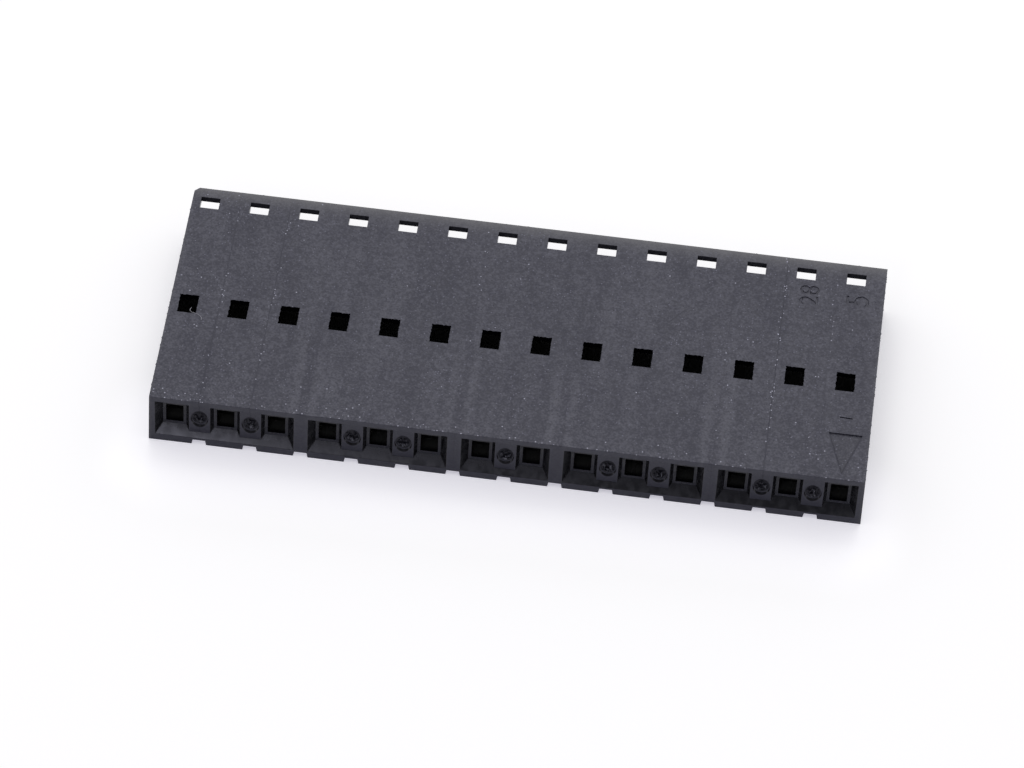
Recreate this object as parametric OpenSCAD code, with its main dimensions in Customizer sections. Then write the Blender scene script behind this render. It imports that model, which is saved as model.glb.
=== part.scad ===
// Single-row receptacle housing for crimp terminals at 2.54 mm pitch.
// It is one moulding. X runs along the row with circuit 1 at the +X end, Y runs
// from the mating face to the wire entry, and the latch windows open towards +Z.
// The origin is at the bottom centre of the body. Sizes are in millimetres.

/* [Row] */
// Distance from one circuit to the next
pitch = 2.54; // [2.5:0.01:2.6]
// Number of circuits
circuits = 14; // [12:1:24]
// Circuits that are followed by a full divider wall on the mating face
divider_after = [3, 6, 8, 11]; // [1:1:11]

/* [Body] */
// Length from the mating face to the wire entry
body_l = 14.34; // [13.8:0.01:16]
// Height from the underside to the top face
body_h = 3.18; // [3.1:0.01:3.4]
// Gap left between two housings that stand end to end on one row of pins
end_gap = 0.04; // [0:0.01:0.1]
// Lean of each end wall, from the underside to the top face
end_draft = 0.04; // [0:0.01:0.08]
// Chamfer of the upright edge at the wire entry, beside the last circuit
corner_chamfer = 0.3; // [0.1:0.05:0.3]
// Radius of the two long edges at the wire entry
entry_edge_r = 0.06; // [0.05:0.01:0.15]

/* [Mating face] */
// Height of the pins above the underside
pin_z = 1.65; // [1.6:0.01:1.68]
// Width of the hole for a square pin
pin_hole_w = 0.87; // [0.8:0.01:0.95]
// Height of the hole for a square pin
pin_hole_h = 1.2; // [1:0.01:1.25]
// Width of the flat rim round a pin hole
rim = 0.14; // [0.1:0.01:0.16]
// Width of a lead-in where it opens on the mating face
lead_in_w = 1.86; // [1.6:0.01:1.9]
// Height of a lead-in where it opens on the mating face
lead_in_h = 2.42; // [2.3:0.01:2.42]
// Depth of a lead-in, down to the rim
lead_in_d = 0.46; // [0.4:0.01:0.5]
// Setback of the pillars that stand between the circuits of one group
pillar_setback = 0.24; // [0.15:0.01:0.3]
// Diameter of the tunnel gates, which leave an oval scar on every pillar
gate_d = 0.86; // [0.6:0.01:0.9]
// Depth of a gate scar
gate_depth = 0.1; // [0.05:0.01:0.15]

/* [Terminal cavities] */
// Thickness of the wall above the cavities
top_wall = 0.34; // [0.3:0.01:0.4]
// Distance from the mating face to the front end of a cavity
front_wall = 1.3; // [1.1:0.01:1.6]
// Width of a cavity round the contact
contact_w = 1.8; // [1.7:0.01:1.85]
// Height of a cavity round the contact
contact_h = 2.1; // [1.95:0.01:2.15]
// Width of a cavity round the wire crimps
crimp_w = 1.9; // [1.85:0.01:1.95]
// Height of a cavity round the wire crimps
crimp_h = 2.3; // [2.2:0.01:2.35]
// Length of a cavity round the wire crimps
crimp_l = 6.6; // [5:0.1:7]
// Flare of a cavity where it opens at the wire entry
flare = 0.08; // [0.04:0.01:0.1]

/* [Windows in the top wall] */
// Width of a latch window
window_w = 0.97; // [0.8:0.01:1.1]
// Length of a latch window
window_l = 1.2; // [1:0.01:1.4]
// Distance from the mating face to the middle of a latch window
window_y = 6.39; // [6:0.01:6.8]
// Width of a slot beside the wire entry
slot_w = 0.96; // [0.8:0.01:1.1]
// Length of a slot beside the wire entry
slot_l = 0.73; // [0.6:0.01:0.9]
// Bridge between a slot and the wire entry
slot_bridge = 0.64; // [0.45:0.01:0.7]
// Distance that windows and slots stand off the middle of their circuits
window_offset = 0.29; // [0:0.01:0.3]

/* [Underside] */
// Width of the groove under each wall between two circuits
groove_w = 0.72; // [0.5:0.01:0.74]
// Height of a groove
groove_h = 0.31; // [0.2:0.01:0.34]
// Slope of a groove's sides, from its mouth to its roof
groove_draft = 0.05; // [0:0.01:0.1]

/* [Circuit 1 mark] */
// Width of the arrow's base
mark_w = 1.66; // [1.2:0.01:1.8]
// Length of the arrow
mark_l = 2.54; // [2:0.01:2.8]
// Distance from the mating face to the arrow's tip
mark_y = 0.45; // [0.3:0.01:0.8]
// Depth of the arrow
mark_depth = 0.08; // [0.04:0.01:0.12]

/* [Hidden] */
body_w = circuits * pitch - end_gap;
front_y = -body_l / 2;
rear_y = body_l / 2;
roof_z = body_h - top_wall;
// Stations along a cavity: its front end, and where the wider rear part starts
contact_y = front_y + front_wall;
crimp_y = rear_y - crimp_l;
step_l = crimp_h - contact_h;
// Cuts run this far past the faces that they open on
past = 0.5;
// Angle between the points of a rounded edge
arc_step = 22.5;

function circuit_x(i) = ((circuits + 1) / 2 - i) * pitch;
function is_divided(i) = len(search(i, divider_after)) > 0;

module at_circuits() {
    for (i = [1 : circuits])
        translate([circuit_x(i), 0, 0]) children();
}

module between_circuits() {
    for (i = [1 : circuits - 1])
        translate([circuit_x(i) - pitch / 2, 0, 0]) children();
}

module at_pillars() {
    for (i = [1 : circuits - 1])
        if (!is_divided(i))
            translate([circuit_x(i) - pitch / 2, 0, 0]) children();
}

// Side view to solid: the profile's axes are Y and Z, and it spans a width in X
module across(width) {
    translate([-width / 2, 0, 0])
        rotate([90, 0, 90]) linear_extrude(width) children();
}

// End view to solid: the profile's axes are X and Z, and it spans the body in Y
module along_body() {
    translate([0, rear_y + past, 0])
        rotate([90, 0, 0]) linear_extrude(body_l + 2 * past) children();
}

// Drafted ends, and a groove under every wall between two circuits
module end_view() {
    groove_roof_w = groove_w - 2 * groove_draft;
    difference() {
        polygon([
            [-body_w / 2, 0], [body_w / 2, 0],
            [body_w / 2 - end_draft, body_h], [end_draft - body_w / 2, body_h]
        ]);
        between_circuits()
            polygon([
                [-groove_w / 2, -past], [groove_w / 2, -past], [groove_w / 2, 0],
                [groove_roof_w / 2, groove_h], [-groove_roof_w / 2, groove_h],
                [-groove_w / 2, 0]
            ]);
    }
}

// Square edges at the mating face, rounded ones at the wire entry
module side_view() {
    arc = [for (a = [0 : arc_step : 90]) entry_edge_r * [cos(a) - 1, sin(a) - 1]];
    polygon(concat(
        [[front_y, body_h], [front_y, 0]],
        [for (i = [len(arc) - 1 : -1 : 0]) [rear_y + arc[i].x, -arc[i].y]],
        [for (p = arc) [rear_y, body_h] + p]
    ));
}

// A rectangle with one chamfered corner
module plan_view() {
    polygon([
        [-body_w / 2, front_y], [body_w / 2, front_y], [body_w / 2, rear_y],
        [corner_chamfer - body_w / 2, rear_y], [-body_w / 2, rear_y - corner_chamfer]
    ]);
}

module body() {
    intersection() {
        along_body() end_view();
        across(body_w) side_view();
        linear_extrude(body_h) plan_view();
    }
}

// Plan of one lead-in, which narrows from the mating face to the rim
module lead_in_plan() {
    mouth = lead_in_w / 2;
    throat = pin_hole_w / 2 + rim;
    polygon([
        [-mouth, front_y - past], [mouth, front_y - past], [mouth, front_y],
        [throat, front_y + lead_in_d], [-throat, front_y + lead_in_d], [-mouth, front_y]
    ]);
}

// Lead-ins of one group run together in front of the pillars
module lead_ins_plan() {
    at_circuits() lead_in_plan();
    at_pillars()
        translate([-pitch / 2, front_y - past]) square([pitch, past + pillar_setback]);
}

// Side view shared by all lead-ins: a sloping roof and a ramp
module lead_ins_side() {
    mouth = lead_in_h / 2;
    throat = pin_hole_h / 2 + rim;
    translate([front_y, pin_z])
        polygon([
            [-past, -mouth], [0, -mouth], [lead_in_d, -throat],
            [lead_in_d, throat], [0, mouth], [-past, mouth]
        ]);
}

module lead_ins() {
    intersection() {
        linear_extrude(body_h) lead_ins_plan();
        across(body_w) lead_ins_side();
    }
}

module pin_hole() {
    translate([-pin_hole_w / 2, front_y, pin_z - pin_hole_h / 2])
        cube([pin_hole_w, front_wall + past, pin_hole_h]);
}

// Oval left by a tunnel gate that rose at 45 degrees to the face of a pillar
module gate_scar() {
    face_y = front_y + pillar_setback;
    intersection() {
        translate([-gate_d, face_y - gate_depth, 0])
            cube([2 * gate_d, 2 * gate_depth, body_h]);
        translate([0, face_y, pin_z])
            rotate([-45, 0, 0]) cylinder(h = 4 * gate_d, d = gate_d, center = true, $fn = 48);
    }
}

// Plan of one cavity, from the contact's front end to the flared wire entry
module cavity_plan() {
    contact = contact_w / 2;
    crimp = crimp_w / 2;
    polygon([
        [-contact, contact_y], [contact, contact_y],
        [contact, crimp_y - step_l], [crimp, crimp_y],
        [crimp, rear_y - flare], [crimp + flare, rear_y], [crimp + flare, rear_y + past],
        [-crimp - flare, rear_y + past], [-crimp - flare, rear_y], [-crimp, rear_y - flare],
        [-crimp, crimp_y], [-contact, crimp_y - step_l]
    ]);
}

// Side view of one cavity: a level roof, and a floor that steps down to the rear
module cavity_side() {
    contact_floor = roof_z - contact_h;
    crimp_floor = roof_z - crimp_h;
    polygon([
        [contact_y, contact_floor], [crimp_y - step_l, contact_floor],
        [crimp_y, crimp_floor], [rear_y - flare, crimp_floor],
        [rear_y, crimp_floor - flare], [rear_y + past, crimp_floor - flare],
        [rear_y + past, roof_z + flare], [rear_y, roof_z + flare],
        [rear_y - flare, roof_z], [contact_y, roof_z]
    ]);
}

module cavity() {
    intersection() {
        linear_extrude(body_h) cavity_plan();
        across(pitch) cavity_side();
    }
}

// Opening in the top wall, given by its middle, width and length
module top_opening(y, w, l) {
    translate([-window_offset - w / 2, y - l / 2, roof_z - past])
        cube([w, l, top_wall + 2 * past]);
}

module circuit_1_mark() {
    translate([circuit_x(1), front_y + mark_y, body_h - mark_depth])
        linear_extrude(mark_depth + past)
            polygon([[0, 0], [mark_w / 2, mark_l], [-mark_w / 2, mark_l]]);
}

module housing() {
    color([0.08, 0.08, 0.09])
        difference() {
            body();
            lead_ins();
            at_pillars() gate_scar();
            at_circuits() {
                pin_hole();
                cavity();
                top_opening(front_y + window_y, window_w, window_l);
                top_opening(rear_y - slot_bridge - slot_l / 2, slot_w, slot_l);
            }
            circuit_1_mark();
        }
}

housing();
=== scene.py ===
"""Looks of a receptacle housing: one moulding in black glass-filled nylon on a white table.

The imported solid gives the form. This script rounds its edges, adds what moulding and
handling have left on it, and sets the finish, the lights and the camera. Lengths are in
millimetres, in the frame of the CAD model, and become metres where a mesh is made.
"""
import math
import random

import bmesh
import bpy
from mathutils import Matrix, Quaternion, Vector, noise

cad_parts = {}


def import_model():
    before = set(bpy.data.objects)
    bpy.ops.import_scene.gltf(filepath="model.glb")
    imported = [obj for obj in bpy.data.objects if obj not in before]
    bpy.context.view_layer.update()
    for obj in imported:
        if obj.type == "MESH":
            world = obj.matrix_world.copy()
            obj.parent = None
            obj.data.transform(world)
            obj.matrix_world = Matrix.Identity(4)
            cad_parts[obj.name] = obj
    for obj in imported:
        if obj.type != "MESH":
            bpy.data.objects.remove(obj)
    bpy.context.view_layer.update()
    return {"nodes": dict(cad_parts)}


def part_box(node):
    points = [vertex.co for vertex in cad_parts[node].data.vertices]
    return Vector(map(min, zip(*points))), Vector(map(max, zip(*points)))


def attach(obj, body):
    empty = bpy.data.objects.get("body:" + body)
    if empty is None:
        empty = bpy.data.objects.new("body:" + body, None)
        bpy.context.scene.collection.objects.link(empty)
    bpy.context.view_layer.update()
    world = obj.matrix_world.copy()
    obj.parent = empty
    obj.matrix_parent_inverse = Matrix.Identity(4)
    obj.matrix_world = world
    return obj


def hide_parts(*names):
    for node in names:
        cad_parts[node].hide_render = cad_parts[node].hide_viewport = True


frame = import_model()

MM = 0.001

# The body and its row of circuits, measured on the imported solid
LOW, HIGH = (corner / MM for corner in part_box("housing"))
PITCH = 2.54
CIRCUITS = round((HIGH.x - LOW.x) / PITCH)
FRONT_Y, REAR_Y = LOW.y, HIGH.y
TOP_Z = HIGH.z

# Features of the solid that the looks refer to
PIN_Z = 1.65
WINDOW_OFFSET = -0.29
WINDOW_W, WINDOW_L, WINDOW_Y = 0.97, 1.2, FRONT_Y + 6.39
SLOT_BRIDGE = 0.64
DIVIDER_AFTER = (3, 6, 8, 11)
RIM_Y = FRONT_Y + 0.46
SCAR_Y = FRONT_Y + 0.34
GROOVE_H = 0.31
END_DRAFT = 0.04
REAR_EDGE_R = 0.06
MARK_W, MARK_DEPTH = 1.66, 0.08
MARK_TIP_Y, MARK_REAR_Y = FRONT_Y + 0.45, FRONT_Y + 2.99

# A face lies on a plane when it is this near, and faces along an axis when this much of its
# normal does
NEAR = 0.01
SQUARE_ON = 0.99
# The rear face and its rounded edges turn back by more than this
TURNED_BACK = 0.2


def circuit_x(i):
    """Middle of circuit i, counted from 1 at the +X end."""
    return ((CIRCUITS + 1) / 2 - i) * PITCH


def pillar_xs():
    """Middles of the pillars between two circuits of one group."""
    return [circuit_x(i) - PITCH / 2 for i in range(1, CIRCUITS) if i not in DIVIDER_AFTER]


# ---------------------------------------------------------------- helpers

def add_object(name, data):
    """A new object in the scene."""
    made = bpy.data.objects.new(name, data)
    bpy.context.scene.collection.objects.link(made)
    return made


def evaluated_mesh(holder):
    """A new mesh of what an object's modifiers or curve settings make of it."""
    graph = bpy.context.evaluated_depsgraph_get()
    return bpy.data.meshes.new_from_object(holder.evaluated_get(graph))


def piece_from(bm, name, finish):
    """Turns a closed form in a bmesh into a piece with one finish."""
    bmesh.ops.recalc_face_normals(bm, faces=bm.faces)
    mesh = bpy.data.meshes.new(name)
    bm.to_mesh(mesh)
    bm.free()
    mesh.materials.append(finish)
    return add_object(name, mesh)


# ---------------------------------------------------------------- the moulding

# Distances in metres under which two vertices are one, and a vertex is on a cut
SAME_PLACE, ON_CUT = 1e-7, 1e-8

# Radius of the rounded edges
EDGE_R = 0.02
# Edges that turn by more than this are rounded, and faces that turn by less are merged
ROUNDED_FROM = math.radians(25)
MERGED_UP_TO = math.radians(0.5)
# Faces narrower than this belong to a rounded edge
NARROW = 0.03
# A plane behind the circuit 1 mark, where the cuts through the windows start
BEHIND_MARK_Y = MARK_REAR_Y + 1.5

# Finishes of the moulding, by their place among its materials. The let-in and rim ones are the
# eroded finish with painted shade.
ERODED_FINISH, CORED_FINISH, LET_IN_FINISH, RIM_FINISH = range(4)

# Numerals let into the top face: text, size, depth, and the middle of each, with its
# distance from the mating face. They read from the end beside circuit 1.
NUMERALS = (
    ("1", 0.95, 0.05, (16.5, 4.02)),
    ("28", 1.4, 0.04, (14.0, 11.9)),
    ("5", 1.7, 0.04, (16.45, 11.9)),
)
# Edges of their outlines longer than this are split, and a noise shifts every corner: how
# far, how fine it is, and the step from its pattern across to the one along
LETTER_STEP = 0.06
WOBBLE, WOBBLES_PER_MM = 0.05, 14
OTHER_WOBBLE = Vector((31, 7, 0))


def cut(bm, faces, point, normal):
    """Splits faces along a plane, and marks the new edges as seams."""
    edges = {e for f in faces for e in f.edges}
    verts = {v for f in faces for v in f.verts}
    found = bmesh.ops.bisect_plane(
        bm, geom=list(faces) + list(edges) + list(verts), dist=ON_CUT,
        plane_co=Vector(point) * MM, plane_no=normal)
    for item in found["geom_cut"]:
        if isinstance(item, bmesh.types.BMEdge):
            item.seam = True


def tidy_panels(bm):
    """Turns the solid's triangles into large flat faces with no holes, cut through the
    middle of the openings, so that every edge can be rounded."""
    bmesh.ops.remove_doubles(bm, verts=bm.verts, dist=SAME_PLACE)
    cut(bm, bm.faces[:], (0, BEHIND_MARK_Y, 0), (0, 1, 0))
    for i in range(1, CIRCUITS + 1):
        x = circuit_x(i)
        cut(bm, bm.faces[:], (x, 0, 0), (1, 0, 0))
        cut(bm, bm.faces[:], (x - PITCH / 2, 0, 0), (1, 0, 0))
        rear = [f for f in bm.faces if f.calc_center_median().y > BEHIND_MARK_Y * MM]
        cut(bm, rear, (x + WINDOW_OFFSET, 0, 0), (1, 0, 0))
    bmesh.ops.dissolve_limit(
        bm, angle_limit=MERGED_UP_TO, verts=bm.verts, edges=bm.edges, delimit={"SEAM"})
    for edge in bm.edges:
        edge.seam = False


def is_cored(face):
    """True on the walls that the mould's polished core pins form. Outside them are, in the
    order below, all that faces the front up to the rims, the rear sides of the slots, the
    rear face, the top, the underside and the two ends."""
    centre, normal = face.calc_center_median() / MM, face.normal
    faces_front = normal.y < -SQUARE_ON
    outside = (
        faces_front and centre.y < RIM_Y + NEAR,
        faces_front and centre.y > REAR_Y - SLOT_BRIDGE - NEAR,
        normal.y > TURNED_BACK and centre.y > REAR_Y - REAR_EDGE_R - NEAR,
        centre.z > TOP_Z - MARK_DEPTH - NEAR,
        centre.z < GROOVE_H + NEAR,
        abs(centre.x) > HIGH.x - END_DRAFT - 2 * NEAR,
    )
    return not any(outside)


def is_let_in(face):
    """True on the floors of the numerals and of the circuit 1 mark."""
    depth = TOP_Z - face.center.z / MM
    return face.normal.z > SQUARE_ON and NEAR < depth < MARK_DEPTH + NEAR


def is_rim(face):
    """True on the flat rims round the pin holes."""
    return face.normal.y < -SQUARE_ON and abs(face.center.y / MM - RIM_Y) < NEAR


def roughen(letters):
    """Shifts the outline of letters sideways at random, alike at every depth."""
    for _ in range(2):
        long_edges = [e for e in letters.edges if e.calc_length() > LETTER_STEP * MM]
        bmesh.ops.subdivide_edges(letters, edges=long_edges, cuts=1)
    for v in letters.verts:
        at = Vector((v.co.x, v.co.y, 0)) / MM * WOBBLES_PER_MM
        shift = Vector((noise.noise(at), noise.noise(at + OTHER_WOBBLE), 0))
        v.co += shift * WOBBLE * MM


def numeral_mesh(text, size, depth, x, from_front):
    """One numeral as a solid that stands as far out of the top face as it goes in."""
    curve = bpy.data.curves.new("numeral", "FONT")
    curve.body, curve.size = text, size * MM
    curve.align_x, curve.align_y = "CENTER", "CENTER"
    curve.extrude, curve.resolution_u = depth * MM, 4
    holder = add_object("numeral", curve)
    mesh = evaluated_mesh(holder)
    bpy.data.objects.remove(holder)
    turn = Matrix.Rotation(math.radians(90), 4, "Z")
    place = Matrix.Translation(Vector((x, FRONT_Y + from_front, TOP_Z)) * MM)
    mesh.transform(place @ turn)
    return mesh


def numeral_cutter():
    """The numerals as one solid, to be cut out of the top face."""
    cutter = bmesh.new()
    for text, size, depth, (x, from_front) in NUMERALS:
        cutter.from_mesh(numeral_mesh(text, size, depth, x, from_front))
    bmesh.ops.remove_doubles(cutter, verts=cutter.verts, dist=SAME_PLACE)
    roughen(cutter)
    mesh = bpy.data.meshes.new("numeral_cutter")
    cutter.to_mesh(mesh)
    cutter.free()
    return add_object("numeral_cutter", mesh)


def round_and_engrave(piece):
    """Rounds the piece's edges, cuts the numerals out of it, and keeps the result."""
    edges = piece.modifiers.new("edges", "BEVEL")
    edges.width, edges.segments = EDGE_R * MM, 2
    edges.limit_method, edges.angle_limit = "ANGLE", ROUNDED_FROM
    edges.use_clamp_overlap = False
    cutter = numeral_cutter()
    engraving = piece.modifiers.new("engraving", "BOOLEAN")
    engraving.object, engraving.solver = cutter, "EXACT"
    mesh = evaluated_mesh(piece)
    piece.modifiers.clear()
    piece.data = mesh
    bpy.data.objects.remove(cutter)


def width_of(mesh, face):
    """A face's area over its longest edge."""
    corners = [mesh.vertices[v].co for v in face.vertices]
    longest = max((a - b).length for a, b in zip(corners, corners[1:] + corners[:1]))
    return face.area / longest


def shade_panels_flat(mesh):
    """Gives wide faces flat shading. The narrow ones of the rounded edges blend from one
    wide face to the next."""
    wide = {face.index for face in mesh.polygons if width_of(mesh, face) > NARROW * MM}
    beside = {}
    for face in mesh.polygons:
        if face.index in wide:
            for v in face.vertices:
                if v not in beside or face.area > beside[v].area:
                    beside[v] = face
    normals = []
    for face in mesh.polygons:
        for v in face.vertices:
            if face.index in wide:
                normals.append(face.normal)
            elif v in beside:
                normals.append(beside[v].normal)
            else:
                normals.append(mesh.vertices[v].normal)
    mesh.normals_split_custom_set(normals)


def moulded_housing(eroded, cored, let_in, rim):
    """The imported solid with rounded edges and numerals, in its finishes."""
    mesh = frame["nodes"]["housing"].data.copy()
    mesh.materials.clear()
    for finish in (eroded, cored, let_in, rim):
        mesh.materials.append(finish)
    bm = bmesh.new()
    bm.from_mesh(mesh)
    tidy_panels(bm)
    for face in bm.faces:
        face.smooth = True
        face.material_index = CORED_FINISH if is_cored(face) else ERODED_FINISH
    bm.to_mesh(mesh)
    bm.free()
    piece = add_object("moulded_housing", mesh)
    round_and_engrave(piece)
    for face in piece.data.polygons:
        if is_let_in(face):
            face.material_index = LET_IN_FINISH
        elif is_rim(face):
            face.material_index = RIM_FINISH
    shade_panels_flat(piece.data)
    return piece


# ---------------------------------------------------------------- marks of moulding

# The torn stubs in the gate scars: their width and height; how far they stand out of the
# scar's floor at least, how much their shards add at most, and how far their rims are sunk
VESTIGE_W, VESTIGE_H = 0.78, 0.94
VESTIGE_LEAST, VESTIGE_PROUD, VESTIGE_SUNK = 0.006, 0.13, 0.01
VESTIGE_Z = PIN_Z + 0.02
VESTIGE_RINGS, VESTIGE_SECTORS = 18, 56
# Step in the pattern from one stub to the next
VESTIGE_SHIFT = 7.0
# Shards: their mean height, how far they vary, how fine they are, and the noise's
# roughness, step between its layers and number of layers
SHARD_MEAN, SHARD_VARIES, SHARD_FINENESS = 0.25, 1.9, 3.4
SHARD_LAYERS = (0.8, 2.1, 4)
# Lumps on each stub: height, place across and up, and how wide they spread
CRATER, HEAP = (-0.6, -0.1, 0.2, 0.12), (0.5, 0.05, -0.35, 0.10)
# Radius at which a stub ends, and the distance over which it falls off to there
STUB_END, STUB_FALL = 0.9, 0.4


def from_0_to_1(value):
    """The value, held between 0 and 1."""
    return min(1.0, max(0.0, value))


def lump(at, height, x, y, spread):
    """What a round lump adds at a place, given its height, its middle and its spread."""
    return height * math.exp(-((at.x - x) ** 2 + (at.y - y) ** 2) / spread)


def torn_height(at):
    """Height of a torn gate at a place on it, as a share of the highest. The place is
    given in radii from its middle, and its third coordinate picks the pattern."""
    shards = SHARD_MEAN + SHARD_VARIES * noise.fractal(at * SHARD_FINENESS, *SHARD_LAYERS)
    height = shards + lump(at, *HEAP) + lump(at, *CRATER)
    inside = (STUB_END - math.hypot(at.x, at.y)) / STUB_FALL
    return from_0_to_1(height) * from_0_to_1(inside)


def vestige_point(x, pattern, ring, sector):
    """A point on the stub at x, on one of its rings and at one of its sectors."""
    turn = 2 * math.pi * sector / VESTIGE_SECTORS
    share = ring / VESTIGE_RINGS
    at = Vector((share * math.cos(turn), share * math.sin(turn), pattern))
    if ring < VESTIGE_RINGS:
        proud = VESTIGE_LEAST + VESTIGE_PROUD * torn_height(at)
    else:
        proud = -VESTIGE_SUNK
    across, up = at.x * VESTIGE_W / 2, at.y * VESTIGE_H / 2
    return Vector((x + across, SCAR_Y - proud, VESTIGE_Z + up)) * MM


def add_vestige(bm, x, pattern):
    """One closed stub: rings of quads round a middle, and a flat back."""
    grid = [[bm.verts.new(vestige_point(x, pattern, ring, sector))
             for sector in range(VESTIGE_SECTORS)]
            for ring in range(1, VESTIGE_RINGS + 1)]
    middle = bm.verts.new(vestige_point(x, pattern, 0, 0))
    for a in range(VESTIGE_SECTORS):
        b = (a + 1) % VESTIGE_SECTORS
        bm.faces.new((middle, grid[0][a], grid[0][b]))
        for inner, outer in zip(grid, grid[1:]):
            bm.faces.new((inner[a], outer[a], outer[b], inner[b]))
    bm.faces.new(grid[-1][::-1])


def gate_vestiges(finish):
    """What the tunnel gates left when they tore off: a rough stub in every scar."""
    bm = bmesh.new()
    for k, x in enumerate(pillar_xs()):
        add_vestige(bm, x, VESTIGE_SHIFT * k)
    return piece_from(bm, "gate_vestiges", finish)


# Fins of flash: the step along the edge, the thickness at the root, and how far the root
# goes in. The tip is thinner. A fin's upper side is just under the top face.
FIN_STEP, FIN_T, FIN_ROOT = 0.035, 0.025, 0.015
FIN_TIP_SHARE = 0.6
FIN_Z = TOP_Z - 0.001
# The least and the most that a tooth draws, as shares of the fin's reach
TOOTH_SHARES = (0.4, 1.3)
# The reach of a fin and the share of its steps that have a tooth, for each edge
WINDOW_REAR_FIN = (0.04, 0.3)
WINDOW_LEFT_FIN = (0.035, 0.25)
WINDOW_RIGHT_FIN = (0.03, 0.2)
LEFT_END_FIN = (0.036, 0.05)
RIGHT_END_FIN = (0.036, 0.12)
REAR_FIN = (0.05, 0.05)
# Room between a corner of the body and the fins beside it
CORNER_ROOM, WIDE_CORNER_ROOM = 0.1, 0.5


def fin_tips(rng, steps, reach, share):
    """How far a fin reaches out at each step. A tooth stands where a draw falls under
    the share, and slopes down to the steps beside it."""
    draws = [reach * rng.uniform(*TOOTH_SHARES) if rng.random() < share else 0.0
             for _ in range(steps - 1)]
    draws = [0.0, *draws, 0.0]
    smooth = [min(reach, (a + 2 * b + c) / 3)
              for a, b, c in zip(draws, draws[1:], draws[2:])]
    return [0.0, *smooth, 0.0]


def add_fin(bm, rng, start, end, outward, reach, share):
    """A thin ragged fin of flash along an edge of the top face."""
    start, end = Vector((*start, FIN_Z)), Vector((*end, FIN_Z))
    outward = Vector((*outward, 0))
    down = Vector((0, 0, -FIN_T))
    steps = max(2, round((end - start).length / FIN_STEP))
    rows = []
    for k, tip in enumerate(fin_tips(rng, steps, reach, share)):
        edge = start.lerp(end, k / steps)
        top, root = edge + outward * tip, edge - outward * FIN_ROOT
        corners = (root, top, top + down * FIN_TIP_SHARE, root + down)
        rows.append([bm.verts.new(corner * MM) for corner in corners])
    for this, following in zip(rows, rows[1:]):
        for a in range(4):
            b = (a + 1) % 4
            bm.faces.new((this[a], this[b], following[b], following[a]))
    bm.faces.new(rows[0][::-1])
    bm.faces.new(rows[-1])


def edge_flash(finish):
    """Ragged flash where mould parts met: round the windows and along the top's edges."""
    rng = random.Random(5)
    bm = bmesh.new()
    near, far = WINDOW_Y - WINDOW_L / 2, WINDOW_Y + WINDOW_L / 2
    for i in range(1, CIRCUITS + 1):
        x = circuit_x(i) + WINDOW_OFFSET
        left, right = x - WINDOW_W / 2, x + WINDOW_W / 2
        add_fin(bm, rng, (left, far), (right, far), (0, -1), *WINDOW_REAR_FIN)
        add_fin(bm, rng, (left, near), (left, far), (1, 0), *WINDOW_LEFT_FIN)
        add_fin(bm, rng, (right, near), (right, far), (-1, 0), *WINDOW_RIGHT_FIN)
    front, rear = FRONT_Y + CORNER_ROOM, REAR_Y - WIDE_CORNER_ROOM
    for side, fin in ((-1, LEFT_END_FIN), (1, RIGHT_END_FIN)):
        x = side * (HIGH.x - END_DRAFT)
        add_fin(bm, rng, (x, front), (x, rear), (side, 0), *fin)
    left, right = LOW.x + WIDE_CORNER_ROOM, HIGH.x - CORNER_ROOM
    y = REAR_Y - REAR_EDGE_R
    add_fin(bm, rng, (left, y), (right, y), (0, 1), *REAR_FIN)
    return piece_from(bm, "edge_flash", finish)


# A hair that curls out of the last circuit's window: x, distance from the mating face, z
HAIR = (
    (-16.62, 6.29, 3.00), (-16.68, 6.12, 3.04), (-16.62, 5.92, 3.12), (-16.46, 5.82, 3.18),
    (-16.24, 5.76, 3.19), (-16.06, 5.65, 3.185), (-15.96, 5.50, 3.185), (-15.99, 5.40, 3.185),
)
HAIR_R = 0.016


def lint_hair(finish):
    """A fine pale hair, as a tube along a smooth curve."""
    curve = bpy.data.curves.new("lint_hair", "CURVE")
    curve.dimensions, curve.resolution_u = "3D", 6
    curve.bevel_depth, curve.bevel_resolution = HAIR_R * MM, 2
    curve.use_fill_caps = True
    line = curve.splines.new("NURBS")
    line.points.add(len(HAIR) - 1)
    for point, (x, from_front, z) in zip(line.points, HAIR):
        point.co = (x * MM, (FRONT_Y + from_front) * MM, z * MM, 1)
    line.use_endpoint_u, line.order_u = True, 4
    holder = add_object("lint_hair", curve)
    mesh = evaluated_mesh(holder)
    bpy.data.objects.remove(holder)
    mesh.materials.clear()
    mesh.materials.append(finish)
    return add_object("lint_hair", mesh)


# ---------------------------------------------------------------- nodes

# Shares of their width over which strokes and specks have their full strength
STROKE_CORE, SPECK_CORE = 0.3, 0.5


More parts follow.
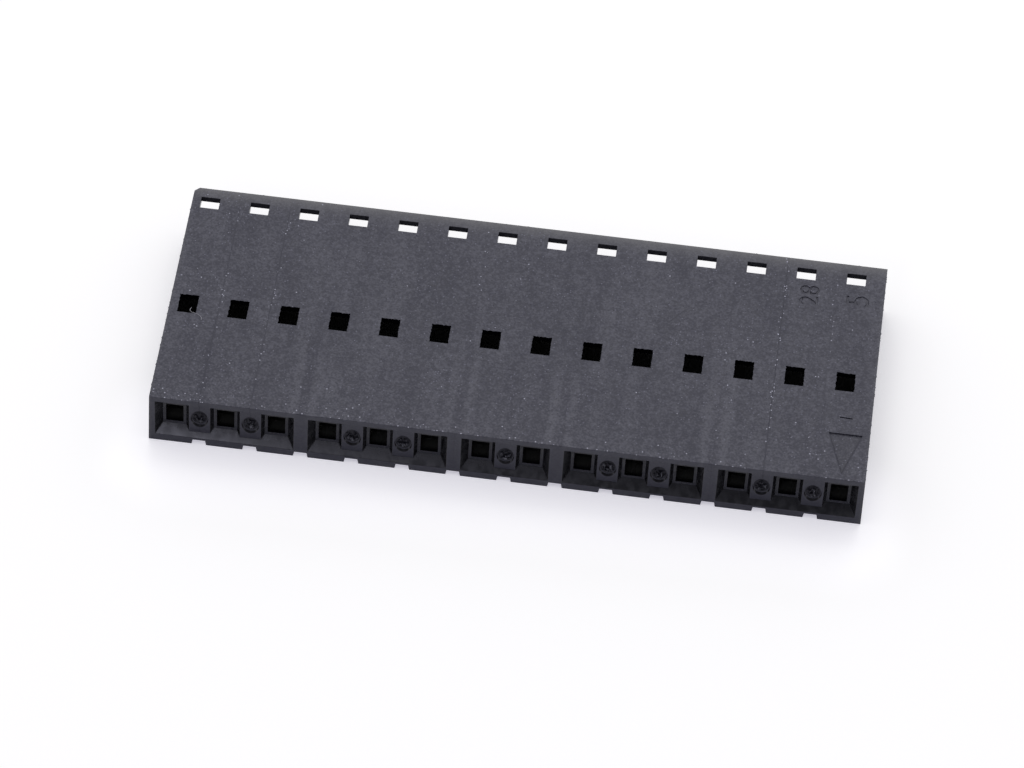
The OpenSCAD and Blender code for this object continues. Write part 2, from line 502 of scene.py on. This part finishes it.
class Nodes:
    """The nodes of one material or world, and short calls that add to them. A value is a
    number, a vector, a colour, or an output of another node."""

    def __init__(self, owner):
        owner.use_nodes = True
        self.owner = owner
        self.tree = owner.node_tree

    def feed(self, node, values):
        """Gives values to the inputs of a node, by their names or numbers."""
        for key, value in values.items():
            if isinstance(value, bpy.types.NodeSocket):
                self.tree.links.new(value, node.inputs[key])
            else:
                node.inputs[key].default_value = value

    def add(self, kind, values=None, **settings):
        """A new node with its settings made and its inputs fed."""
        node = self.tree.nodes.new(kind)
        for name, value in settings.items():
            setattr(node, name, value)
        self.feed(node, values or {})
        return node

    def finish(self, values):
        """Feeds the material's shader, and returns the material."""
        self.feed(self.tree.nodes["Principled BSDF"], values)
        return self.owner

    def place(self):
        """Position on the object in millimetres."""
        values = {0: self.add("ShaderNodeTexCoord").outputs["Object"], "Scale": 1 / MM}
        return self.add("ShaderNodeVectorMath", values, operation="SCALE").outputs[0]

    def math(self, operation, a, b=0.0):
        """One step of arithmetic on numbers."""
        return self.add("ShaderNodeMath", {0: a, 1: b}, operation=operation).outputs[0]

    def fold(self, operation, values):
        """The same step over all values, from the first to the last."""
        result, *others = values
        for value in others:
            result = self.math(operation, result, value)
        return result

    def sum(self, *values):
        """All values added."""
        return self.fold("ADD", values)

    def product(self, *values):
        """All values multiplied."""
        return self.fold("MULTIPLY", values)

    def highest(self, *values):
        """The highest of the values."""
        return self.fold("MAXIMUM", values)

    def vector_math(self, operation, a, b=(0, 0, 0), result="Vector"):
        """One step of arithmetic on vectors."""
        node = self.add("ShaderNodeVectorMath", {0: a, 1: b}, operation=operation)
        return node.outputs[result]

    def stretch(self, vector, by):
        """A vector with each of its axes multiplied."""
        return self.vector_math("MULTIPLY", vector, by)

    def axis(self, vector, name):
        """One of a vector's numbers."""
        return self.add("ShaderNodeSeparateXYZ", {0: vector}).outputs[name]

    def box_distance(self, place, middle, half):
        """Distance to a box, given its middle and its half sizes."""
        aside = self.vector_math("ABSOLUTE", self.vector_math("SUBTRACT", place, middle))
        aside = self.vector_math("SUBTRACT", aside, half)
        aside = self.vector_math("MAXIMUM", aside, (0, 0, 0))
        return self.vector_math("LENGTH", aside, result="Value")

    def noise(self, vector, scale, detail, roughness, result="Fac"):
        """A soft random pattern, as a number or as a colour."""
        values = {"Vector": vector, "Scale": scale, "Detail": detail, "Roughness": roughness}
        return self.add("ShaderNodeTexNoise", values).outputs[result]

    def span(self, value, low, high, to_low=0.0, to_high=1.0, course="SMOOTHSTEP"):
        """Maps low..high to to_low..to_high, and stops at both ends."""
        values = {
            "Value": value, "From Min": low, "From Max": high,
            "To Min": to_low, "To Max": to_high,
        }
        node = self.add("ShaderNodeMapRange", values, interpolation_type=course)
        return node.outputs["Result"]

    def ramp(self, value, low, high):
        """Maps low..high evenly to 0..1, and stops at both ends."""
        return self.span(value, low, high, course="LINEAR")

    def stroke(self, place, start, end, half_width):
        """1 along a straight line over the top face, 0 away from it."""
        start, end = Vector((*start, 0)), Vector((*end, 0))
        along = (end - start).normalized()
        across = Vector((-along.y, along.x, 0))
        offset = self.vector_math("SUBTRACT", place, (start + end) / 2)
        reach = self.math("ABSOLUTE", self.vector_math("DOT_PRODUCT", offset, along, "Value"))
        aside = self.math("ABSOLUTE", self.vector_math("DOT_PRODUCT", offset, across, "Value"))
        half = (end - start).length / 2
        in_length = self.span(reach, half, half + half_width, 1, 0)
        in_width = self.span(aside, STROKE_CORE * half_width, half_width, 1, 0)
        return self.product(in_length, in_width)

    def specks(self, place, per_mm, radius, share):
        """Small spots in that share of the cells of a random pattern."""
        cells = self.add("ShaderNodeTexVoronoi", {"Vector": place, "Scale": per_mm}).outputs
        reach = radius * per_mm
        spot = self.span(cells["Distance"], SPECK_CORE * reach, reach, 1, 0)
        chosen = self.math("LESS_THAN", self.axis(cells["Color"], "X"), share)
        return self.product(spot, chosen)

    def blend(self, share, a, b):
        """Colour a where share is 0 and colour b where it is 1."""
        values = {"Factor": share, "A": a, "B": b}
        return self.add("ShaderNodeMix", values, data_type="RGBA").outputs["Result"]

    def bump(self, height, depth):
        """The surface's normal with a relief, whose full depth is in millimetres."""
        values = {"Height": height, "Distance": depth * MM, "Strength": 1.0}
        return self.add("ShaderNodeBump", values).outputs["Normal"]


# ---------------------------------------------------------------- finish of the outer faces

# Colours in linear light
NYLON_DARK = (0.001, 0.001, 0.019, 1)
NYLON_PALE = (0.083, 0.083, 0.111, 1)
# Painted shade of the faces that don't face up
NYLON_SIDE_PAINTED_SHADE = (0.030, 0.030, 0.051, 1)
# Pits and dark lines, and the painted shade towards the table
NYLON_GROOVE_AND_PAINTED_SHADE = (0.002, 0.002, 0.018, 1)
# Painted glare at the rear edge, paler by less at the ends
NYLON_PALE_EDGE = (0.132, 0.130, 0.142, 1)
# Painted glint spots, for the sparkle of the grain
PAINTED_GLINT = (0.12, 0.12, 0.17, 1)
CHALK = (0.4, 0.4, 0.5, 1)

# Random patterns: waves per millimetre, layers of finer waves, and the strength of those.
# A span is two values of what it follows and, where it has four numbers, what it gives at
# each of the two.
GRAIN = (9.0, 2.0, 0.5)
MOTTLE = (3.6, 2.0, 0.6)
CLOUD, CLOUD_STRETCH = (1.0, 3.0, 0.55), (0.8, 0.16, 0.5)
PATCHES = (0.45, 1.0, 0.5)
CLUSTERS = (0.7, 1.0, 0.5)
WANDER = (6.0, 2.0, 0.5)

# How much each pattern adds to the tone, and the tones of the darkest and the palest nylon
GRAIN_SHARE, MOTTLE_SHARE, CLOUD_SHARE = 0.82, 0.27, 0.2
TONES = (0.47, 0.87)

# Specks: how many cells to the millimetre, and the radius of a speck
PIT = (7.0, 0.045)
PAINTED_GLINT_SPOT = (8.0, 0.045)
CHALK_SPOT = (7.0, 0.044)
# Shares of the cells that have a speck: pits, and painted glint spots outside the patches
PIT_SHARE, LEAST_PAINTED_GLINTS = 0.1, 0.08
# The patches, and how much they add to the shares of painted glint spots and of chalky specks
PATCH_SPAN = (0.5, 0.68, 0.0, 0.12)
PAINTED_GLINTS_IN_PATCH, CHALK_IN_PATCH = 1.2, 0.2

# Rise of a normal from which a face counts as the top, and from which it counts in full
FACING_UP = (0.3, 0.9)
# Painted shade: sides are this much of their own darker colour, and all faces darken towards
# the table: between two heights, by the first share at the lower one and by the second at the
# upper
SIDE_PAINTED_SHADE = 0.6
LOW_PAINTED_SHADE = (0.8, 3.0, 0.6, 0.0)

# Painted shading of sink marks: the change of tone over a wall, and how far from its middle
# that fades
WALL_TONE, WALL_FADE = -0.025, (0.05, 0.4)
# The change along each flank of a divider, how far from its middle, and its half width
FLANK_TONE, FLANK_X, FLANK_HALF_W = 0.05, 0.47, 0.3
# Where all the painted sink shading fades, on the way back to the windows
SINK_FADE = (WINDOW_Y - 3.7, WINDOW_Y + 0.3, 1.0, 0.0)

# Lines left on the top face by the joints between mould inserts: the pitches from the
# middle of the row to each, and how strong it is
INSERT_JOINTS = ((5, 1.0), (-6, 0.85), (-5, 0.8), (-1, 0.35), (4, 0.4), (6, 0.35))
JOINT_HALF_W = 0.045
# Lines along the two long sides of the circuit 1 mark
MARK_LINE_HALF_W, MARK_LINE_STRENGTH = 0.1, 0.8
# A scratch, from end to end
SCRATCH = ((7.15, FRONT_Y + 9.0), (7.85, FRONT_Y + 9.9))
SCRATCH_HALF_W = 0.04
# How far the lines wander, and how the mottles break them up
LINE_WANDER = 0.12
LINES_BROKEN = (0.35, 0.6, 0.45, 0.95)

# Painted glare along the rear edge, and a paler band at the two ends: how far each reaches,
# and how steeply it rises; and how it follows the tone
REAR_GLARE_REACH, REAR_GLARE_STEEP = 2.0, 4.0
END_PALE_REACH, END_PALE_STEEP, END_PALE_STRENGTH = 0.3, 2.0, 0.3
PALE_EDGE_BY_TONE = (0.5, 0.86, 0.75, 1.2)

# Chalky specks: bands behind the mating face, each with its start, its end and the share
# at its start; wide lines over the insert joints; and how both gather in clusters
CHALK_BANDS = ((0.0, 0.25, 0.5), (0.2, 1.4, 0.08))
RUBBED_HALF_W, RUBBED_SHARE = 0.16, 0.7
CLUSTER_SPAN = (0.42, 0.54)

# Roughness by the grain, and the depth of its relief
ERODED_ROUGHNESS = (0.3, 0.7, 0.5, 0.68)
GRAIN_DEPTH = 0.014

# Painted shade of recessed faces: the share of the grain's colour on the let-in floors and on
# the rims round the pin holes
LET_IN_PAINTED_SHADE, RIM_PAINTED_SHADE = 0.88, 0.15


def shaded(colour, by):
    """A colour made darker, for painted shade."""
    return [c * by for c in colour[:3]] + [1]


def painted_sink_shading(n, place):
    """Painted shading of shallow sinks over the walls in front of the windows, as a change of
    tone: a little darker over every wall, and paler along both flanks of a divider."""
    across = n.math("PINGPONG", n.axis(place, "X"), PITCH / 2)
    marks = [n.span(across, *WALL_FADE, WALL_TONE, 0.0)]
    for i in DIVIDER_AFTER:
        for side in (-1, 1):
            x = circuit_x(i) - PITCH / 2 + side * FLANK_X
            flank = n.stroke(place, (x, FRONT_Y), (x, WINDOW_Y), FLANK_HALF_W)
            marks.append(n.product(flank, FLANK_TONE))
    return n.product(n.sum(*marks), n.span(n.axis(place, "Y"), *SINK_FADE))


def grain_tone(n, place, grain, mottle):
    """Tone of the eroded surface: fine grain, softer patterns and the painted shading of sink
    marks.
    """
    cloud = n.noise(n.stretch(place, CLOUD_STRETCH), *CLOUD)
    return n.sum(
        n.product(grain, GRAIN_SHARE), n.product(mottle, MOTTLE_SHARE),
        n.product(cloud, CLOUD_SHARE), painted_sink_shading(n, place))


def grain_colour(n, place, tone, on_top, shade):
    """Colour of the grain and its pits, with painted shade on the sides and towards the table.
    """
    # Painted shade darkens the grain on the let-in floors and the rims
    dark, pale = shaded(NYLON_DARK, shade), shaded(NYLON_PALE, shade)
    colour = n.blend(n.span(tone, *TONES), dark, pale)
    colour = n.blend(n.specks(place, *PIT, PIT_SHARE), colour, NYLON_GROOVE_AND_PAINTED_SHADE)
    # Painted shade: faces that don't face up blend into the darker side colour
    beside = n.product(n.math("SUBTRACT", 1.0, on_top), SIDE_PAINTED_SHADE)
    colour = n.blend(beside, colour, shaded(NYLON_SIDE_PAINTED_SHADE, shade))
    # Painted shade: every face darkens towards the table
    return n.blend(n.span(n.axis(place, "Z"), *LOW_PAINTED_SHADE), colour, NYLON_GROOVE_AND_PAINTED_SHADE)


def insert_joints(n, place, half_width):
    """The joints between mould inserts, as lines along the body."""
    lines = []
    for pitches, strength in INSERT_JOINTS:
        x = pitches * PITCH
        line = n.stroke(place, (x, FRONT_Y), (x, REAR_Y), half_width)
        lines.append(n.product(line, strength))
    return n.sum(*lines)


def dark_lines(n, place, mottle):
    """The insert joints, the sides of the circuit 1 mark and a scratch, broken up."""
    wobble = n.vector_math("SUBTRACT", n.noise(place, *WANDER, "Color"), (0.5, 0.5, 0.5))
    ragged = n.vector_math("ADD", place, n.stretch(wobble, (LINE_WANDER, LINE_WANDER, 0)))
    lines = [insert_joints(n, ragged, JOINT_HALF_W)]
    tip = (circuit_x(1), MARK_TIP_Y)
    for side in (-1, 1):
        corner = (circuit_x(1) + side * MARK_W / 2, MARK_REAR_Y)
        line = n.stroke(ragged, tip, corner, MARK_LINE_HALF_W)
        lines.append(n.product(line, MARK_LINE_STRENGTH))
    lines.append(n.stroke(place, *SCRATCH, SCRATCH_HALF_W))
    return n.product(n.highest(*lines), n.span(mottle, *LINES_BROKEN))


def paler_edges(n, place, tone):
    """Paleness that rises to its full strength at the rear edge, as painted glare, and to less
    at the ends.
    """
    rear = n.ramp(n.axis(place, "Y"), REAR_Y - REAR_GLARE_REACH, REAR_Y)
    end = n.ramp(n.math("ABSOLUTE", n.axis(place, "X")), HIGH.x - END_PALE_REACH, HIGH.x)
    rear, end = n.math("POWER", rear, REAR_GLARE_STEEP), n.math("POWER", end, END_PALE_STEEP)
    near_edges = n.highest(rear, n.product(end, END_PALE_STRENGTH))
    return n.math("MINIMUM", n.product(near_edges, n.span(tone, *PALE_EDGE_BY_TONE)), 1.0)


def painted_glints(n, place, patches, on_top):
    """Painted glint spots: fine bright spots in the colour of the top face, for its sparkle,
    more of them in the patches.
    """
    share = n.product(n.sum(n.product(patches, PAINTED_GLINTS_IN_PATCH), LEAST_PAINTED_GLINTS), on_top)
    return n.specks(place, *PAINTED_GLINT_SPOT, share)


def chalky_specks(n, place, patches, on_top):
    """Specks where the top face has rubbed: clusters behind the mating face and over the
    insert joints, and a few in the patches."""
    y = n.axis(place, "Y")
    front = n.sum(*(n.span(y, FRONT_Y + start, FRONT_Y + end, share, 0.0)
                    for start, end, share in CHALK_BANDS))
    joints = n.product(insert_joints(n, place, RUBBED_HALF_W), RUBBED_SHARE)
    clusters = n.span(n.noise(place, *CLUSTERS), *CLUSTER_SPAN)
    rubbed = n.product(n.sum(joints, front), clusters)
    share = n.product(n.sum(rubbed, n.product(patches, CHALK_IN_PATCH)), on_top)
    return n.specks(place, *CHALK_SPOT, share)


def eroded_nylon(name, shade=1.0):
    """Outer faces: a fine spark-eroded grain with dark lines, chalky specks and painted glint
    spots, painted glare at the rear edge, and painted shade on the sides and towards the
    table. A shade below 1 is painted shade that darkens the grain of the let-in floors and the
    rims."""
    n = Nodes(bpy.data.materials.new(name))
    place = n.place()
    normal = n.add("ShaderNodeNewGeometry").outputs["Normal"]
    on_top = n.span(n.axis(normal, "Z"), *FACING_UP)
    grain, mottle = n.noise(place, *GRAIN), n.noise(place, *MOTTLE)
    tone = grain_tone(n, place, grain, mottle)
    patches = n.span(n.noise(place, *PATCHES), *PATCH_SPAN)
    colour = grain_colour(n, place, tone, on_top, shade)
    colour = n.blend(dark_lines(n, place, mottle), colour, NYLON_GROOVE_AND_PAINTED_SHADE)
    # Painted glare towards the rear edge, paler by less at the ends
    colour = n.blend(paler_edges(n, place, tone), colour, NYLON_PALE_EDGE)
    # Painted glint spots on the top face
    colour = n.blend(painted_glints(n, place, patches, on_top), colour, PAINTED_GLINT)
    colour = n.blend(chalky_specks(n, place, patches, on_top), colour, CHALK)
    return n.finish({
        "Base Color": colour,
        "Roughness": n.span(grain, *ERODED_ROUGHNESS),
        "Normal": n.bump(grain, GRAIN_DEPTH),
    })


# ---------------------------------------------------------------- other finishes

# Colours of the walls: in the lead-ins, in streaks that grow paler towards their mouths as
# painted light, and deep inside
CORED = (0.0005, 0.0005, 0.002, 1)
CORED_STREAK_AND_PAINTED_LIGHT = (0.036, 0.036, 0.043, 1)
CORED_DEEP = (0.05, 0.05, 0.05, 1)
# Marks that the core pins leave as they are drawn: their pattern and depth, and how they
# streak the colour and the roughness. The mouths are polished by this much.
DRAG, DRAG_STRETCH, DRAG_DEPTH = (1.0, 2.0, 0.5), (3.0, 0.6, 3.0), 0.001
CORED_STREAKS = (0.35, 0.65, 0.5, 1.0)
CORED_ROUGHNESS, MOUTH_POLISH = (0.3, 0.7, 0.22, 0.3), 0.1
# Distances behind the rims and under the top face over which the deep colour sets in
DEEP_BEHIND_RIM, DEEP_UNDER_TOP = (0.05, 0.5), (0.6, 0.4)
# Tint of the reflection on the smoother walls
POLISH_TINT = (0.86, 0.86, 1.0, 1)

# Torn gates: their dark colour and a paler one painted as highlights on the shards' tips,
# their grain and its depth, how the grain takes the painted highlight, and how far above the
# scar's floor that starts
TORN_DARK = (0.0005, 0.0005, 0.004, 1)
TORN_PAINTED_HIGHLIGHT = (0.16, 0.16, 0.20, 1)
TORN_GRAIN, TORN_DEPTH = (14.0, 2.0, 0.6), 0.01
TORN_HIGHLIGHT_SPAN, HIGHLIGHT_FROM = (0.35, 0.6, 0.3, 1.0), 0.02

# The hair: its darker colour, and the pattern that varies it
LINT = (0.20, 0.19, 0.17, 1)
LINT_TINTS = (6.0, 2.0, 0.5)


def cored_nylon():
    """Lead-ins, pin holes and cavities: polished core pins leave them smoother, and painted
    light makes their streaks paler towards the mouths.
    """
    n = Nodes(bpy.data.materials.new("cored_nylon"))
    place = n.place()
    y, z = n.axis(place, "Y"), n.axis(place, "Z")
    drag = n.noise(n.stretch(place, DRAG_STRETCH), *DRAG)
    near_mouth = n.ramp(y, RIM_Y, FRONT_Y)
    # Painted light: the drag streaks grow paler towards the mouths
    streaks = n.product(near_mouth, n.span(drag, *CORED_STREAKS))
    behind_rim = n.span(y, *(RIM_Y + d for d in DEEP_BEHIND_RIM))
    under_top = n.span(z, *(TOP_Z - d for d in DEEP_UNDER_TOP), 1, 0)
    colour = n.blend(streaks, CORED, CORED_STREAK_AND_PAINTED_LIGHT)
    colour = n.blend(n.product(behind_rim, under_top), colour, CORED_DEEP)
    drawn = n.span(drag, *CORED_ROUGHNESS)
    return n.finish({
        "Base Color": colour,
        "Roughness": n.math("SUBTRACT", drawn, n.product(near_mouth, MOUTH_POLISH)),
        "Specular IOR Level": 0.4,
        "Specular Tint": POLISH_TINT,
        "Normal": n.bump(drag, DRAG_DEPTH),
    })


def torn_nylon():
    """Gate vestiges: dark between the shards, with painted highlights on their tips."""
    n = Nodes(bpy.data.materials.new("torn_nylon"))
    place = n.place()
    grain = n.noise(place, *TORN_GRAIN)
    tips = n.span(n.axis(place, "Y"), SCAR_Y - VESTIGE_PROUD, SCAR_Y - HIGHLIGHT_FROM, 1, 0)
    # Painted highlight on the tips of the shards
    chalky = n.product(tips, n.span(grain, *TORN_HIGHLIGHT_SPAN))
    return n.finish({
        "Base Color": n.blend(chalky, TORN_DARK, TORN_PAINTED_HIGHLIGHT),
        "Roughness": 0.45,
        "Specular IOR Level": 0.25,
        "Specular Tint": POLISH_TINT,
        "Normal": n.bump(grain, TORN_DEPTH),
    })


def pale_lint():
    """The hair: dull, and chalky in places."""
    n = Nodes(bpy.data.materials.new("pale_lint"))
    colour = n.blend(n.noise(n.place(), *LINT_TINTS), LINT, CHALK)
    return n.finish({"Base Color": colour, "Roughness": 0.8})


# ---------------------------------------------------------------- stage

TABLE_R, TABLE_CORNERS = 1500.0, 64
TABLE_COLOUR = (0.80, 0.80, 0.77, 1)
# The glow that the table adds: its colour, how much stronger it is beside the mating face,
# and how far that reaches
TABLE_GLOW = (0.330, 0.324, 0.366, 1)
GLOW_AHEAD, GLOW_REACH = 1.45, 4.2
# The box that the stronger glow surrounds
GLOW_MIDDLE, GLOW_HALF = (0, FRONT_Y, 0), (HIGH.x - 1.0, 1.0, 0)

# Light all round: the direction of its bright side, the light from the dark half and from
# the bright side, and the cosine at which the bright side starts
BRIGHT_SIDE = (-0.15, 0.5, 0.8)
DARK_SIDE_LIGHT, BRIGHT_SIDE_LIGHT = 0.1, 0.9
FULLY_BRIGHT = 0.8

# Softboxes: direction from the part, length of a side, power and colour
SOFTBOXES = {
    "key": ((0.0, 0.75, 1.0), 300, 0.6, (1, 1, 1)),
    "front_left": ((-0.2, -0.75, 0.64), 90, 0.098, (0.95, 0.95, 1.0)),
}
SOFTBOX_DISTANCE = 500

# The view: where it looks, from where, and how long the lens is
VIEW_AZIMUTH, VIEW_ELEVATION, VIEW_ROLL = (math.radians(a) for a in (-4.204, 48.774, 3.68))
VIEW_TARGET = (-0.148, FRONT_Y + 3.636, TOP_Z)
VIEW_DISTANCE = 268.94
LENS, SENSOR = 191.07, 36.0


def table_white():
    """White table. The camera sees it with a glow, and so do reflections, so that its
    shadows stay pale, and paler still in front of the part. It lights nothing else."""
    n = Nodes(bpy.data.materials.new("table_white"))
    ray = n.add("ShaderNodeLightPath").outputs
    seen = n.highest(ray["Is Camera Ray"], ray["Is Glossy Ray"], ray["Is Transmission Ray"])
    away = n.box_distance(n.place(), GLOW_MIDDLE, GLOW_HALF)
    strength = n.product(seen, n.span(away, 0.0, GLOW_REACH, GLOW_AHEAD, 1.0))
    diffuse = n.add("ShaderNodeBsdfDiffuse", {"Color": TABLE_COLOUR})
    glow = n.add("ShaderNodeEmission", {"Color": TABLE_GLOW, "Strength": strength})
    both = n.add("ShaderNodeAddShader", {0: diffuse.outputs[0], 1: glow.outputs[0]})
    n.feed(n.tree.nodes["Material Output"], {"Surface": both.outputs[0]})
    n.tree.nodes.remove(n.tree.nodes["Principled BSDF"])
    return n.owner


def table():
    """A round table top, level with the underside."""
    turns = [2 * math.pi * k / TABLE_CORNERS for k in range(TABLE_CORNERS)]
    rim = [Vector((math.cos(a), math.sin(a), 0)) * TABLE_R * MM for a in turns]
    mesh = bpy.data.meshes.new("table")
    mesh.from_pydata(rim, [], [range(TABLE_CORNERS)])
    mesh.materials.append(table_white())
    floor = add_object("table", mesh)


def world():
    """Soft light all round: bright above and behind the part, dark on the camera's side."""
    studio = bpy.data.worlds.new("studio")
    n = Nodes(studio)
    direction = n.add("ShaderNodeTexCoord").outputs["Generated"]
    bright_side = Vector(BRIGHT_SIDE).normalized()
    facing = n.vector_math("DOT_PRODUCT", direction, bright_side, "Value")
    strength = n.span(facing, 0.0, FULLY_BRIGHT, DARK_SIDE_LIGHT, BRIGHT_SIDE_LIGHT)
    n.feed(n.tree.nodes["Background"], {"Color": (1, 1, 1, 1), "Strength": strength})
    bpy.context.scene.world = studio


def softbox(name, direction, side, power, colour):
    """A square lamp that faces the part from a direction."""
    lamp = bpy.data.lights.new(name, "AREA")
    lamp.shape, lamp.size = "SQUARE", side * MM
    lamp.energy, lamp.color = power, colour
    holder = add_object(name, lamp)
    holder.location = Vector(direction).normalized() * SOFTBOX_DISTANCE * MM
    holder.rotation_euler = holder.location.to_track_quat("Z", "Y").to_euler()


def camera():
    """A long lens that looks down on the mating face and the top."""
    data = bpy.data.cameras.new("view")
    data.lens, data.sensor_width = LENS, SENSOR
    data.clip_start = 1 * MM
    level = math.cos(VIEW_ELEVATION)
    ahead = Vector((math.sin(VIEW_AZIMUTH) * level, math.cos(VIEW_AZIMUTH) * level,
                    -math.sin(VIEW_ELEVATION)))
    turn = ahead.to_track_quat("-Z", "Y") @ Quaternion((0, 0, 1), VIEW_ROLL)
    place = (Vector(VIEW_TARGET) - ahead * VIEW_DISTANCE) * MM
    holder = add_object("view", data)
    holder.matrix_world = Matrix.Translation(place) @ turn.to_matrix().to_4x4()
    bpy.context.scene.camera = holder


# ---------------------------------------------------------------- assembly

camera()
world()
table()
for name, settings in SOFTBOXES.items():
    softbox(name, *settings)
bpy.context.scene.view_settings.view_transform = "Standard"

eroded = eroded_nylon("eroded_nylon")
# Copies of the eroded finish with painted shade, for the let-in floors and the rims
let_in = eroded_nylon("let_in_nylon_painted_shade", LET_IN_PAINTED_SHADE)
rim = eroded_nylon("rim_nylon_painted_shade", RIM_PAINTED_SHADE)
housing = moulded_housing(eroded, cored_nylon(), let_in, rim)
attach(housing, "root")
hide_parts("housing")
for detail in (gate_vestiges(torn_nylon()), edge_flash(eroded), lint_hair(pale_lint())):
    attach(detail, "root")
